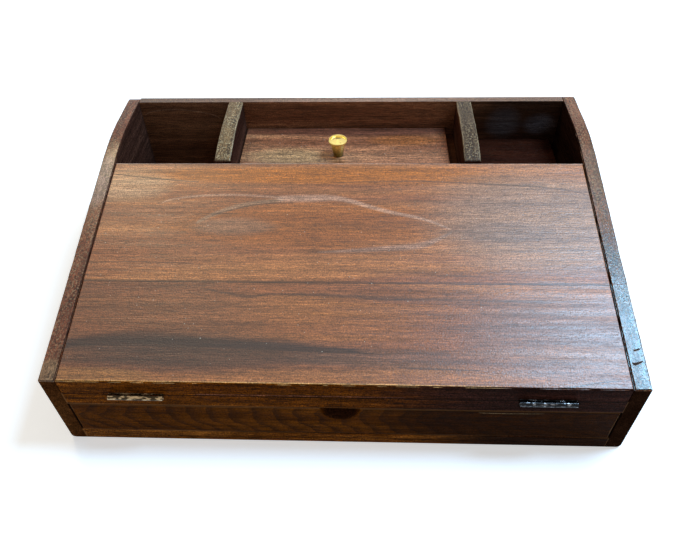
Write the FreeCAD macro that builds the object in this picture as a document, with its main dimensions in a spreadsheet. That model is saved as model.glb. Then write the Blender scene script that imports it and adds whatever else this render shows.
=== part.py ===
import FreeCAD, Part
import math
import os
import re
import Sketcher

# Letter writing box with a drawer: a sloping lid hinged along its front edge, three bins behind
# it, a small lift-off lid over the middle bin and a full-width drawer below.
#
# Frame: millimetres, +Z up, the origin on the underside at the middle of the case. X runs along
# the front from left to right and Y from the front face to the back.

DOCUMENT = "letter_writing_box"
SHEET = "Sizes"

# The driving dimensions. Every one is a cell of the spreadsheet, under its own alias.
DRIVING = {
    # case
    "case_width": 406.0,
    "case_depth": 280.0,
    "front_height": 73.1,
    "top_height": 124.5,
    "knee_beyond": 27.0,
    "knee_radius": 190.0,
    "rear_corner_radius": 3.5,
    "side_thickness": 11.5,
    "base_thickness": 12.5,
    "back_thickness": 10.0,
    "drawer_space": 33.5,
    "rail_height": 12.8,
    "rail_depth": 18.0,
    "floor_thickness": 6.0,
    "bin_depth": 81.0,
    "partition_thickness": 12.0,
    "divider_thickness": 13.0,
    "left_bin_width": 82.8,
    "right_bin_width": 81.6,
    "foot_rounding": 3.5,
    "edge_easing": 1.0,
    # right-hand bin
    "raised_floor_height": 85.0,
    "raised_floor_thickness": 6.0,
    "raised_floor_gap": 5.0,
    # sloping lid
    "lid_slope": 13.1,
    "lid_short": 2.0,
    "lid_thickness": 14.0,
    "lid_seam": 81.8,
    "lid_side_gap": 0.6,
    "lid_seat_gap": 0.2,
    # butt hinges
    "hinge_inset": 64.0,
    "hinge_length": 38.0,
    "leaf_width": 10.5,
    "leaf_thickness": 1.2,
    "knuckle_radius": 2.05,
    "knuckle_gap": 0.2,
    "knuckle_stand": 0.15,
    "pin_radius": 1.0,
    "pin_clearance": 0.05,
    "pin_overhang": 0.5,
    "mortise_gap": 0.15,
    # hinge screws
    "screw_spacing": 24.0,
    "screw_inset": 5.0,
    "screw_length": 9.0,
    "screw_radius": 1.35,
    "screw_head_height": 1.0,
    "screw_tip": 2.5,
    "screw_clearance": 0.08,
    "screw_sink": 0.05,
    "screw_slot_width": 0.6,
    "screw_slot_depth": 0.4,
    # drawer
    "drawer_end_gap": 1.0,
    "drawer_top_gap": 0.6,
    "drawer_run_gap": 0.3,
    "drawer_back_gap": 6.0,
    "drawer_front_thickness": 12.0,
    "drawer_side_thickness": 8.0,
    "drawer_side_drop": 1.5,
    "drawer_back_thickness": 8.0,
    "drawer_lap": 5.0,
    "drawer_bottom_thickness": 3.5,
    "drawer_bottom_height": 4.0,
    "groove_depth": 4.0,
    "groove_gap": 0.1,
    "notch_radius": 13.85,
    # small lid over the middle bin
    "small_lid_height": 97.7,
    "small_lid_thickness": 7.0,
    "small_lid_left_gap": 1.3,
    "small_lid_right_gap": 7.8,
    "small_lid_end_gap": 0.8,
    "cleat_width": 11.0,
    "cleat_height": 8.0,
    # knob
    "knob_shift": 5.4,
    "knob_beyond": 37.0,
    "knob_height": 16.0,
    "knob_rim_radius": 8.15,
    "knob_foot_radius": 4.3,
    "knob_foot_rounding": 0.5,
    "knob_waist_radius": 6.5,
    "knob_rim_height": 2.2,
    "knob_flare_height": 1.0,
    "knob_rim_easing": 0.4,
    "knob_lip": 0.9,
    "knob_dish_depth": 1.1,
    "knob_crown_gap": 0.3,
    "knob_crown_top": 0.6,
    "knob_crown_height": 1.3,
    "knob_bore_depth": 9.0,
    "knob_screw_radius": 1.5,
    "knob_screw_head_radius": 3.4,
    "knob_screw_head_height": 1.8,
}

# Sizes that follow from the driving ones, by the same kind of plain words.
DERIVED = {
    "inner_width": "case_width - 2 * side_thickness",
    "back_face": "case_depth - back_thickness",
    "drawer_ceiling": "base_thickness + drawer_space",
    "floor_top": "drawer_ceiling + floor_thickness",
    "seam_height": "drawer_ceiling + rail_height",
    "partition_back": "back_face - bin_depth",
    "partition_front": "partition_back - partition_thickness",
    "knee_setback": "partition_back + knee_beyond",
    "lid_depth": "partition_back - lid_short",
    "lid_width": "inner_width - 2 * lid_side_gap",
    "hinge_spacing": "case_width - 2 * hinge_inset",
    # the pin stands in front of the face, level with the middle of the seam
    "pin_stand": "knuckle_radius + knuckle_stand",
    "pin_setback": "(pin_stand - lid_seat_gap / 2 * sin(lid_slope)) / cos(lid_slope)",
    "leaf_start": "knuckle_radius + knuckle_gap",
    "leaf_end": "leaf_start + leaf_width",
    "leaf_edge": "leaf_end - pin_setback",
    "knuckle_pitch": "hinge_length / 5",
    "bore_radius": "pin_radius + pin_clearance",
    "screw_line": "leaf_start + screw_inset - pin_setback",
    "screw_hole_radius": "screw_radius + screw_clearance",
    "pilot_depth": "screw_length + screw_sink + screw_clearance",
    "drawer_width": "inner_width - 2 * drawer_end_gap",
    "drawer_floor": "base_thickness + drawer_run_gap",
    "drawer_top": "drawer_ceiling - drawer_top_gap",
    "drawer_side_top": "drawer_top - drawer_side_drop",
    "drawer_end": "back_face - drawer_back_gap",
    "drawer_inner_width": "drawer_width - 2 * drawer_side_thickness",
    "groove_low": "drawer_floor + drawer_bottom_height",
    "groove_high": "groove_low + drawer_bottom_thickness + groove_gap",
    "left_divider_low": "left_bin_width - inner_width / 2",
    "left_divider_high": "left_divider_low + divider_thickness",
    "right_divider_high": "inner_width / 2 - right_bin_width",
    "right_divider_low": "right_divider_high - divider_thickness",
    "small_lid_low": "small_lid_height - small_lid_thickness",
    "small_lid_left": "left_divider_high + small_lid_left_gap",
    "small_lid_right": "right_divider_low - small_lid_right_gap",
    "small_lid_middle": "(small_lid_left + small_lid_right) / 2",
    "knob_across": "small_lid_middle - knob_shift",
    "knob_setback": "partition_back + knob_beyond",
    "knob_bore_radius": "knob_screw_radius + screw_clearance",
    "knob_rim_low": "knob_height - knob_rim_height",
    "knob_dish_floor": "knob_height - knob_dish_depth",
    "knob_dish_radius": "knob_rim_radius - knob_lip - knob_rim_easing",
}

NAME = re.compile(r"[a-z_]+")
FUNCTIONS = ("sin", "cos", "tan")
TOUCH = 1e-4  # two places this close count as the same


def words(formula):
    """A formula in the sizes' own names, as an expression on the spreadsheet's cells."""

    def swap(match):
        name = match.group(0)
        if name in FUNCTIONS:
            return name
        if name in DERIVED:
            return "(" + words(DERIVED[name]) + ")"
        return SHEET + "." + name

    return NAME.sub(swap, formula)


def make_sheet(doc):
    """The spreadsheet of driving dimensions: a name, a number and an alias on each row."""
    sheet = doc.addObject("Spreadsheet::Sheet", SHEET)
    for row, (name, size) in enumerate(DRIVING.items(), start=1):
        sheet.set("A%d" % row, name)
        sheet.set("B%d" % row, str(size))
        sheet.setAlias("B%d" % row, name)
    doc.recompute()


def make_body(doc, label, place, tilted=False):
    """An empty body at a bound place, turned to the lid's slope where it lies along it."""
    body = doc.addObject("PartDesign::Body", label)
    body.Label = label
    if tilted:
        body.Placement = FreeCAD.Placement(
            FreeCAD.Vector(), FreeCAD.Rotation(FreeCAD.Vector(1, 0, 0), DRIVING["lid_slope"])
        )
        body.setExpression("Placement.Rotation.Angle", words("lid_slope"))
    for axis, formula in zip("xyz", place):
        body.setExpression("Placement.Base." + axis, words(formula))
    return body


def make_sketch(body, plane, offset):
    """An empty sketch on one of the body's origin planes, moved along the plane's normal."""
    sketch = body.newObject("Sketcher::SketchObject", body.Name + "_sketch")
    support = [item for item in body.Origin.OriginFeatures if item.Role == plane + "_Plane"]
    sketch.AttachmentSupport = [(support[0], "")]
    sketch.MapMode = "FlatFace"
    sketch.setExpression("AttachmentOffset.Base.z", words(offset))
    return sketch


def bind_point(sketch, geometry, point, place, first):
    """Hold one point of the sketch at a bound distance from the sketch's origin."""
    for kind, formula, start in zip(("DistanceX", "DistanceY"), place, (first.x, first.y)):
        rule = Sketcher.Constraint(kind, -1, 1, geometry, point, start)
        index = sketch.addConstraint(rule)
        sketch.setExpression("Constraints[%d]" % index, words(formula))


def outline(body, plane, corners, offset="0"):
    """A closed outline of straight lines through the corners, each corner bound to the sheet."""
    sketch = make_sketch(body, plane, offset)
    count = len(corners)
    turn = 2 * math.pi / count
    first = [FreeCAD.Vector(math.cos(turn * k), math.sin(turn * k), 0) for k in range(count)]
    for k in range(count):
        sketch.addGeometry(Part.LineSegment(first[k], first[(k + 1) % count]), False)
    for k in range(count):
        sketch.addConstraint(Sketcher.Constraint("Coincident", k, 2, (k + 1) % count, 1))
    for k, corner in enumerate(corners):
        bind_point(sketch, k, 1, corner, first[k])
    return sketch


def circles(body, plane, centres, radius, offset="0"):
    """Circles of one bound radius about bound centres."""
    sketch = make_sketch(body, plane, offset)
    for k, centre in enumerate(centres):
        first = FreeCAD.Vector(10.0 * k, 0, 0)
        sketch.addGeometry(Part.Circle(first, FreeCAD.Vector(0, 0, 1), 1.0), False)
        bind_point(sketch, k, 3, centre, first)
        index = sketch.addConstraint(Sketcher.Constraint("Radius", k, 1.0))
        sketch.setExpression("Constraints[%d]" % index, words(radius))
    return sketch


def rectangle(low, high):
    """The four corners of a rectangle, from its lowest and highest corners."""
    return [low, (high[0], low[1]), high, (low[0], high[1])]


def pad(body, sketch, length):
    """Material along the sketch's normal."""
    feature = body.newObject("PartDesign::Pad", body.Name + "_pad")
    feature.Profile = sketch
    feature.setExpression("Length", words(length))
    sketch.Visibility = False
    return feature


def pocket(body, sketch, depth):
    """A cut from the sketch along its normal, which has to take something away."""
    body.Document.recompute()
    before = body.Shape.Volume
    feature = body.newObject("PartDesign::Pocket", body.Name + "_pocket")
    feature.Profile = sketch
    feature.Reversed = True
    feature.setExpression("Length", words(depth))
    body.Document.recompute()
    if body.Shape.Volume > before - TOUCH:
        raise RuntimeError(feature.Name + " cuts nothing")
    return feature


def revolve(body, sketch):
    """A full turn of the outline about the sketch's vertical axis."""
    feature = body.newObject("PartDesign::Revolution", body.Name + "_turning")
    feature.Profile = sketch
    feature.ReferenceAxis = (sketch, ["V_Axis"])
    feature.Angle = 360.0
    return feature


def repeat(body, originals, pitch, count):
    """Copies of the originals along the body's X axis, or of the whole body with none named."""
    axis = [item for item in body.Origin.OriginFeatures if item.Role == "X_Axis"][0]
    feature = body.newObject("PartDesign::LinearPattern", body.Name + "_pattern")
    if originals:
        feature.Originals = originals
    else:
        feature.TransformMode = "Whole shape"
    feature.Direction = (axis, [""])
    feature.Mode = "Spacing"
    feature.setExpression("Offset", words(pitch))
    feature.Occurrences = count
    body.Tip = feature
    return feature


def box_of(points):
    """The box about some points."""
    box = FreeCAD.BoundBox()
    for point in points:
        box.add(point)
    return box


def edge_box(edge):
    """The box about an edge's ends and its middle."""
    middle = edge.valueAt((edge.FirstParameter + edge.LastParameter) / 2)
    return box_of([vertex.Point for vertex in edge.Vertexes] + [middle])


def on_side(edge, box, side):
    """Whether the whole edge lies in one side of the box, such as XMin or ZMax."""
    span = edge_box(edge)
    place = getattr(box, side)
    axis = side[0]
    return (
        abs(getattr(span, axis + "Min") - place) < TOUCH
        and abs(getattr(span, axis + "Max") - place) < TOUCH
    )


def at_top(edge, box):
    """Whether an edge crosses the piece along its top, clear of its faces and its back."""
    return on_side(edge, box, "ZMax") and not any(
        on_side(edge, box, side) for side in ("XMin", "XMax", "YMax")
    )


def dress(body, kind, size, chosen):
    """Round or bevel the edges of the body so far that the test chooses."""
    body.Document.recompute()
    base = body.Tip
    box = box_of([vertex.Point for vertex in base.Shape.Vertexes])
    edges = enumerate(base.Shape.Edges, start=1)
    names = ["Edge%d" % k for k, edge in edges if chosen(edge, box)]
    if not names:
        raise RuntimeError("no edge to dress on " + body.Name)
    feature = body.newObject("PartDesign::" + kind, body.Name + "_" + kind.lower())
    feature.Base = (base, names)
    feature.setExpression("Radius" if kind == "Fillet" else "Size", words(size))
    body.Tip = feature
    return feature


FRONT = ("0", "0 - case_depth / 2", "0")  # X, Y and Z of the front face's foot


def along_seam(across="0"):
    """The place of the seam's front edge, where pieces that lie along the slope start."""
    return (across, "0 - case_depth / 2", "seam_height")


def board(doc, label, low, high):
    """A plain board between two corners, measured from the foot of the front face."""
    body = make_body(doc, label, FRONT)
    sketch = outline(body, "XY", rectangle(low[:2], high[:2]), low[2])
    pad(body, sketch, "(%s) - (%s)" % (high[2], low[2]))
    return body


def ease(body, *sides):
    """Ease the edges that lie in one of the named sides and, where two are joined, in both."""
    wanted = [side.split("+") for side in sides]
    dress(body, "Fillet", "edge_easing",
          lambda edge, box: any(all(on_side(edge, box, one) for one in pair) for pair in wanted))


# ---- case ----


def make_side(doc, label, low, outer):
    """An end board: sloping over the lid, level over the bins, with a rounded rear corner."""
    body = make_body(doc, label, FRONT)
    corners = [
        ("0", "0"),
        ("case_depth", "0"),
        ("case_depth", "top_height"),
        ("knee_setback", "top_height"),
        ("0", "front_height"),
    ]
    pad(body, outline(body, "YZ", corners, low), "side_thickness")
    dress(body, "Fillet", "knee_radius", at_top)
    dress(body, "Fillet", "rear_corner_radius",
          lambda edge, box: on_side(edge, box, "YMax") and on_side(edge, box, "ZMax"))
    dress(body, "Fillet", "foot_rounding",
          lambda edge, box: on_side(edge, box, outer) and on_side(edge, box, "ZMin"))
    brow = DRIVING["front_height"] - TOUCH

    def open_to_hand(edge, box):
        """Every edge of the outer face, and the inner and front ones along the top."""
        if on_side(edge, box, outer):
            return True
        seen = any(on_side(edge, box, side) for side in ("XMin", "XMax", "YMin"))
        return seen and edge_box(edge).ZMin > brow

    dress(body, "Fillet", "edge_easing", open_to_hand)
    return body


def make_front_rail(doc):
    """The rail over the drawer, its top planed to the slope and cut for the hinges' leaves."""
    body = make_body(doc, "front_rail", along_seam(), tilted=True)
    corners = [
        ("0", "0"),
        ("0 - rail_height * sin(lid_slope)", "0 - rail_height * cos(lid_slope)"),
        ("rail_depth * cos(lid_slope) - rail_height * sin(lid_slope)",
         "0 - rail_depth * sin(lid_slope) - rail_height * cos(lid_slope)"),
        ("rail_depth / cos(lid_slope)", "0"),
    ]
    pad(body, outline(body, "YZ", corners, "0 - inner_width / 2"), "inner_width")
    cut_for_hinges(body, "0 - leaf_thickness", "0 - pilot_depth")
    return body


def make_partition(doc):
    """The cross partition, its top planed to the slope under the lid's back edge."""
    body = make_body(doc, "cross_partition", FRONT)
    corners = [
        ("partition_front", "floor_top"),
        ("partition_back", "floor_top"),
        ("partition_back", "seam_height + partition_back * tan(lid_slope)"),
        ("partition_front", "seam_height + partition_front * tan(lid_slope)"),
    ]
    pad(body, outline(body, "YZ", corners, "0 - inner_width / 2"), "inner_width")
    return body


def make_divider(doc, label, low):
    """A divider between the partition and the back, its top level with the end boards."""
    body = make_body(doc, label, FRONT)
    rise = "(top_height - front_height) / knee_setback"
    corners = [
        ("partition_back", "floor_top"),
        ("back_face", "floor_top"),
        ("back_face", "top_height"),
        ("knee_setback", "top_height"),
        ("partition_back", "front_height + partition_back * " + rise),
    ]
    pad(body, outline(body, "YZ", corners, low), "divider_thickness")
    dress(body, "Fillet", "knee_radius", at_top)

    def open_to_hand(edge, box):
        """The edges along the top and across its front end."""
        if on_side(edge, box, "YMax") or edge_box(edge).ZMin < DRIVING["front_height"]:
            return False
        return any(on_side(edge, box, side) for side in ("XMin", "XMax", "YMin"))

    dress(body, "Fillet", "edge_easing", open_to_hand)
    return body


def make_case(doc):
    """The boards that stay still."""
    half = "inner_width / 2"
    left = "0 - " + half
    sides = [
        make_side(doc, "left_side", "0 - case_width / 2", "XMin"),
        make_side(doc, "right_side", half, "XMax"),
    ]
    base = board(doc, "base_board", (left, "0", "0"), (half, "back_face", "base_thickness"))
    ease(base, "YMin+ZMax", "YMin+ZMin")
    back = board(doc, "back_panel", (left, "back_face", "0"), (half, "case_depth", "top_height"))
    dress(back, "Fillet", "rear_corner_radius",
          lambda edge, box: on_side(edge, box, "YMax") and on_side(edge, box, "ZMax"))
    floor = board(doc, "compartment_floor", (left, "rail_depth", "drawer_ceiling"),
                  (half, "back_face", "floor_top"))
    raised = board(
        doc, "raised_floor",
        ("right_divider_high", "partition_back", "raised_floor_height - raised_floor_thickness"),
        (half + " - raised_floor_gap", "back_face", "raised_floor_height"),
    )
    cleats = [
        make_cleat(doc, "left_cleat", "left_divider_high", "left_divider_high + cleat_width"),
        make_cleat(doc, "right_cleat", "right_divider_low - cleat_width", "right_divider_low"),
    ]
    return sides + [
        base, back, floor, raised, *cleats,
        make_front_rail(doc),
        make_partition(doc),
        make_divider(doc, "left_divider", "left_divider_low"),
        make_divider(doc, "right_divider", "right_divider_low"),
    ]


def make_cleat(doc, label, low, high):
    """A strip along a divider that carries one end of the small lid."""
    return board(doc, label, (low, "partition_back", "small_lid_low - cleat_height"),
                 (high, "back_face", "small_lid_low"))


# ---- hinges ----


def hinge_places():
    """The middle of each hinge along the seam, left first."""
    return (("left", "0 - hinge_spacing / 2"), ("right", "hinge_spacing / 2"))


def cut_for_hinges(body, mortise_floor, pilot_floor):
    """Let both leaves into the seam's face of a piece and bore it for their screws.

    Both cuts rise from the heights given, the lowest that each reaches.
    """
    reach = "hinge_length / 2 + mortise_gap"
    for _, middle in hinge_places():
        corners = rectangle(("%s - (%s)" % (middle, reach), "0 - leaf_start"),
                            ("%s + %s" % (middle, reach), "leaf_edge + mortise_gap"))
        pocket(body, outline(body, "XY", corners, mortise_floor), "leaf_thickness")
    centres = [
        ("%s %s screw_spacing / 2" % (middle, way), "screw_line")
        for _, middle in hinge_places()
        for way in "-+"
    ]
    pocket(body, circles(body, "XY", centres, "screw_hole_radius", pilot_floor), "pilot_depth")


def make_leaf(doc, label, across, face, low, first, count):
    """A hinge leaf: a plate with two countersunk holes and its share of the knuckles.

    Face is the side of the plate that looks at the seam, where its holes are countersunk.
    """
    body = make_body(doc, label, along_seam(across), tilted=True)
    half = "hinge_length / 2"
    plate = rectangle(("leaf_start - pin_setback", low), ("leaf_edge", low + " + leaf_thickness"))
    pad(body, outline(body, "YZ", plate, "0 - " + half), "hinge_length")
    start = "%d * knuckle_pitch - %s + knuckle_gap / 2" % (first, half)
    length = "knuckle_pitch - knuckle_gap"
    centre = ("0 - pin_setback", "lid_seat_gap / 2")
    neck = rectangle((centre[0], low), ("leaf_start - pin_setback", low + " + leaf_thickness"))
    necks = pad(body, outline(body, "YZ", neck, start), length)
    discs = pad(body, circles(body, "YZ", [centre], "knuckle_radius", start), length)
    repeat(body, [necks, discs], "2 * knuckle_pitch", count)
    pocket(body, circles(body, "YZ", [centre], "bore_radius", "0 - hinge_length"),
           "2 * hinge_length")
    centres = [("0 %s screw_spacing / 2" % way, "screw_line") for way in "-+"]
    pocket(body, circles(body, "XY", centres, "screw_hole_radius", low), "leaf_thickness")
    seam_side = DRIVING.get(face, 0.0)

    def mouth(edge, box):
        """The rim of a screw's hole on the plate's face."""
        upright = edge.Curve.TypeId == "Part::GeomCircle" and abs(edge.Curve.Axis.z) > TOUCH
        return upright and abs(edge_box(edge).ZMin - seam_side) < TOUCH

    dress(body, "Chamfer", "screw_head_height + screw_sink", mouth)
    return body


def make_pin(doc, label, across):
    """A hinge pin, a little longer than the knuckles, with rounded ends."""
    body = make_body(doc, label, along_seam(across), tilted=True)
    centre = ("0 - pin_setback", "lid_seat_gap / 2")
    sketch = circles(body, "YZ", [centre], "pin_radius", "0 - hinge_length / 2 - pin_overhang")
    pad(body, sketch, "hinge_length + 2 * pin_overhang")
    dress(body, "Fillet", "pin_overhang * 0.8",
          lambda edge, box: on_side(edge, box, "XMin") or on_side(edge, box, "XMax"))
    return body


def make_hinge_screws(doc, label, seat, way):
    """The four countersunk screws of one side of the seam, driven away from it."""
    body = make_body(doc, label, along_seam("0 - (hinge_spacing + screw_spacing) / 2"),
                     tilted=True)
    body.AllowCompound = True

    def depth(formula):
        return "%s %s (%s)" % (seat, way, formula)

    head = "screw_radius + screw_head_height"
    profile = [
        ("0", depth("screw_sink")),
        (head, depth("screw_sink")),
        ("screw_radius", depth("screw_sink + screw_head_height")),
        ("screw_radius", depth("screw_sink + screw_length - screw_tip")),
        ("0", depth("screw_sink + screw_length")),
    ]
    turned = revolve(body, outline(body, "XZ", profile, "0 - screw_line"))
    slot = rectangle(("0 - screw_slot_width / 2", "screw_line - (%s)" % head),
                     ("screw_slot_width / 2", "screw_line + " + head))
    low = depth("screw_sink") if way == "+" else depth("screw_sink + screw_slot_depth")
    slotted = pocket(body, outline(body, "XY", slot, low), "screw_slot_depth")
    repeat(body, [turned, slotted], "screw_spacing", 2)
    repeat(body, [], "hinge_spacing", 2)
    return body


def make_hinges(doc):
    """Both butt hinges with their pins and screws."""
    pieces = []
    for name, across in hinge_places():
        pieces += [
            make_leaf(doc, name + "_rail_leaf", across, "0", "0 - leaf_thickness", 0, 3),
            make_leaf(doc, name + "_lid_leaf", across, "lid_seat_gap", "lid_seat_gap", 1, 2),
        ]
        pieces.append(make_pin(doc, name + "_hinge_pin", across))
    pieces.append(make_hinge_screws(doc, "rail_hinge_screws", "0", "-"))
    pieces.append(make_hinge_screws(doc, "lid_hinge_screws", "lid_seat_gap", "+"))
    return pieces


# ---- sloping lid ----


def make_lid(doc):
    """The sloping lid, two boards glued edge to edge, upright at its front and back edges."""
    under = "lid_seat_gap"
    over = "(lid_seat_gap + lid_thickness)"
    front = [
        (under + " * tan(lid_slope)", under),
        ("lid_seam", under),
        ("lid_seam", over),
        (over + " * tan(lid_slope)", over),
    ]
    rear = [
        ("lid_seam", under),
        ("(lid_depth + %s * sin(lid_slope)) / cos(lid_slope)" % under, under),
        ("(lid_depth + %s * sin(lid_slope)) / cos(lid_slope)" % over, over),
        ("lid_seam", over),
    ]
    pieces = []
    for label, corners, end in (("lid_front_board", front, "YMin"), ("lid_rear_board", rear, "YMax")):
        body = make_body(doc, label, along_seam(), tilted=True)
        pad(body, outline(body, "YZ", corners, "0 - lid_width / 2"), "lid_width")
        seam = "YMax" if end == "YMin" else "YMin"
        dress(body, "Fillet", "edge_easing",
              lambda edge, box: on_side(edge, box, "ZMax") and not on_side(edge, box, seam))
        pieces.append(body)
    cut_for_hinges(pieces[0], under, under)
    return pieces


# ---- drawer ----


def make_drawer_front(doc):
    """The drawer's front: rebated ends, a groove for the bottom and a half-moon finger notch."""
    half = "drawer_width / 2"
    body = board(doc, "drawer_front", ("0 - " + half, "0", "drawer_floor"),
                 (half, "drawer_front_thickness", "drawer_top"))
    inner = "drawer_inner_width / 2"
    for low, high in (("0 - " + half, "0 - " + inner), (inner, half)):
        rebate = rectangle((low, "drawer_lap"), (high, "drawer_front_thickness"))
        pocket(body, outline(body, "XY", rebate, "drawer_floor"), "drawer_top - drawer_floor")
    groove = rectangle(("0 - " + inner, "drawer_front_thickness - groove_depth"),
                       (inner, "drawer_front_thickness"))
    pocket(body, outline(body, "XY", groove, "groove_low"), "groove_high - groove_low")
    notch = circles(body, "XZ", [("0", "drawer_top")], "notch_radius",
                    "0 - drawer_front_thickness")
    pocket(body, notch, "drawer_front_thickness")
    ease(body, "YMin")
    return body


def make_drawer_side(doc, label, low, high, groove_start):
    """A drawer side with its groove for the bottom."""
    body = board(doc, label, (low, "drawer_lap", "drawer_floor"),
                 (high, "drawer_end", "drawer_side_top"))
    groove = rectangle((groove_start, "drawer_lap"), (groove_start + " + groove_depth",
                                                      "drawer_end"))
    pocket(body, outline(body, "XY", groove, "groove_low"), "groove_high - groove_low")
    ease(body, "XMin+ZMax", "XMax+ZMax")
    return body


def make_drawer(doc):
    """The drawer: the bottom slides in under the back and runs in three grooves."""
    half = "drawer_width / 2"
    inner = "drawer_inner_width / 2"
    panel = "(drawer_inner_width / 2 + groove_depth - groove_gap)"
    back = board(
        doc, "drawer_back",
        ("0 - " + inner, "drawer_end - drawer_back_thickness",
         "groove_low + drawer_bottom_thickness"),
        (inner, "drawer_end", "drawer_side_top"),
    )
    ease(back, "YMin+ZMax", "YMax+ZMax")
    bottom = board(
        doc, "drawer_bottom",
        ("0 - " + panel, "drawer_front_thickness - groove_depth + groove_gap", "groove_low"),
        (panel, "drawer_end", "groove_low + drawer_bottom_thickness"),
    )
    return [
        make_drawer_front(doc),
        make_drawer_side(doc, "drawer_left_side", "0 - " + half, "0 - " + inner,
                         "0 - %s - groove_depth" % inner),
        make_drawer_side(doc, "drawer_right_side", inner, half, inner),
        back,
        bottom,
    ]


# ---- small lid over the middle bin ----


def make_small_lid(doc):
    """The lift-off lid, a little short of the dividers at both ends, bored for its knob."""
    body = board(
        doc, "compartment_lid",
        ("small_lid_left", "partition_back + small_lid_end_gap", "small_lid_low"),
        ("small_lid_right", "back_face - small_lid_end_gap", "small_lid_height"),
    )
    hole = circles(body, "XY", [("knob_across", "knob_setback")], "knob_bore_radius",
                   "small_lid_low")
    pocket(body, hole, "small_lid_thickness")
    dress(body, "Fillet", "edge_easing * 0.6",
          lambda edge, box: on_side(edge, box, "ZMax")
          and edge.Curve.TypeId == "Part::GeomLine")
    return body


KNOB_FACETS = 10
KNOB_PLACE = ("knob_across", "knob_setback - case_depth / 2", "small_lid_height")


def polygon(radius):
    """The corners of the crown's outline about the knob's axis."""
    turn = 360 / KNOB_FACETS
    return [
        ("(%s) * cos(%g)" % (radius, turn * k), "(%s) * sin(%g)" % (radius, turn * k))
        for k in range(KNOB_FACETS)
    ]


def make_knob(doc):
    """The turned knob: a flared stem, a rim with a lip, and a faceted crown in its dished top."""
    body = make_body(doc, "knob", KNOB_PLACE)
    edge = "knob_rim_radius - knob_rim_easing"
    profile = [
        ("0", "knob_bore_depth"),
        ("knob_bore_radius", "knob_bore_depth"),
        ("knob_bore_radius", "0"),
        ("knob_foot_radius - knob_foot_rounding", "0"),
        ("knob_foot_radius", "knob_foot_rounding"),
        ("knob_waist_radius", "knob_rim_low - knob_flare_height"),
        (edge, "knob_rim_low"),
        ("knob_rim_radius", "knob_rim_low + knob_rim_easing"),
        ("knob_rim_radius", "knob_height - knob_rim_easing"),
        (edge, "knob_height"),
        ("knob_rim_radius - knob_lip", "knob_height"),
        ("knob_dish_radius", "knob_dish_floor"),
        ("0", "knob_dish_floor"),
    ]
    revolve(body, outline(body, "XZ", profile))
    crown = body.newObject("PartDesign::AdditiveLoft", "knob_crown")
    crown.Profile = outline(body, "XY", polygon("knob_dish_radius - knob_crown_gap"),
                            "knob_dish_floor")
    crown.Sections = [outline(body, "XY", polygon("knob_crown_top"),
                              "knob_dish_floor + knob_crown_height")]
    crown.Ruled = True
    body.Tip = crown
    return body


def make_knob_screw(doc):
    """The screw that holds the knob from under the small lid."""
    body = make_body(doc, "knob_screw", KNOB_PLACE)
    under = "0 - small_lid_thickness"
    profile = [
        ("0", under + " - knob_screw_head_height"),
        ("knob_screw_head_radius - knob_screw_head_height / 2",
         under + " - knob_screw_head_height"),
        ("knob_screw_head_radius", under),
        ("knob_screw_radius", under),
        ("knob_screw_radius", "knob_bore_depth - knob_screw_radius"),
        ("0", "knob_bore_depth - screw_clearance"),
    ]
    revolve(body, outline(body, "XZ", profile))
    return body


def check(doc, pieces):
    """Stop if anything in the document failed, or if a piece isn't a valid solid."""
    for item in doc.Objects:
        if "Invalid" in item.State or "Error" in item.State:
            raise RuntimeError(item.Name + " failed: " + ", ".join(item.State))
    for piece in pieces:
        if piece.Shape.isNull() or not piece.Shape.isValid() or not piece.Shape.Solids:
            raise RuntimeError(piece.Label + " is no valid solid")


def main():
    doc = FreeCAD.newDocument(DOCUMENT)
    make_sheet(doc)
    pieces = make_case(doc) + make_hinges(doc) + make_lid(doc) + make_drawer(doc)
    pieces += [make_small_lid(doc), make_knob(doc), make_knob_screw(doc)]
    doc.recompute()
    check(doc, pieces)
    os.makedirs("parts", exist_ok=True)
    for piece in pieces:
        piece.Shape.exportStep(os.path.join("parts", piece.Label + ".step"))


main()
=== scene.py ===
"""The looks of a letter writing box: varnished hardwood boards, steel butt hinges and a brass knob."""

from functools import partial
from math import cos, radians, sin

import bmesh
import bpy
from bpy.props import FloatProperty, FloatVectorProperty, PointerProperty
from mathutils import Matrix, Vector, noise


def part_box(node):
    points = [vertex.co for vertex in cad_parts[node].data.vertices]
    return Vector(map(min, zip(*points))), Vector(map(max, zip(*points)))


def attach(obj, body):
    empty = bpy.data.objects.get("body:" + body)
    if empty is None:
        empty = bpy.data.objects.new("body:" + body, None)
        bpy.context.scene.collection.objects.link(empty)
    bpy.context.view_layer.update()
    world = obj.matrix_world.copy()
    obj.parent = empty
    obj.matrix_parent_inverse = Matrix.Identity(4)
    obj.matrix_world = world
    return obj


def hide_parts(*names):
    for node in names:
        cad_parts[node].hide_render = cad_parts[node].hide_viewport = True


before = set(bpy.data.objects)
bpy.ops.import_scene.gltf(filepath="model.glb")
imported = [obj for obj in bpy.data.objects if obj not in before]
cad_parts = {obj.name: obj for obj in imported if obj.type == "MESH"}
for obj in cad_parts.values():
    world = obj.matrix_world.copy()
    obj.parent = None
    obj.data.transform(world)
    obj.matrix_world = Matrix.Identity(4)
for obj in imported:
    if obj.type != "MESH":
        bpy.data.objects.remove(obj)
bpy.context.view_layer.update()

bl_info = {
    "name": "Letter Writing Box",
    "version": (1, 0, 0),
    "blender": (4, 5, 0),
    "location": "View3D > Sidebar > Letter Box",
    "description": "Finishes a letter writing box with a sloping lid, bins and a drawer",
    "category": "Object",
}

MM = 0.001
PREFIX = "letter_box"


def linear(code, alpha=True):
    """The linear colour of an sRGB hex value."""
    channels = [int(code[k:k + 2], 16) / 255 for k in (0, 2, 4)]
    curve = [c / 12.92 if c <= 0.04045 else ((c + 0.055) / 1.055) ** 2.4 for c in channels]
    return tuple(curve) + ((1.0,) if alpha else ())


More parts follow.
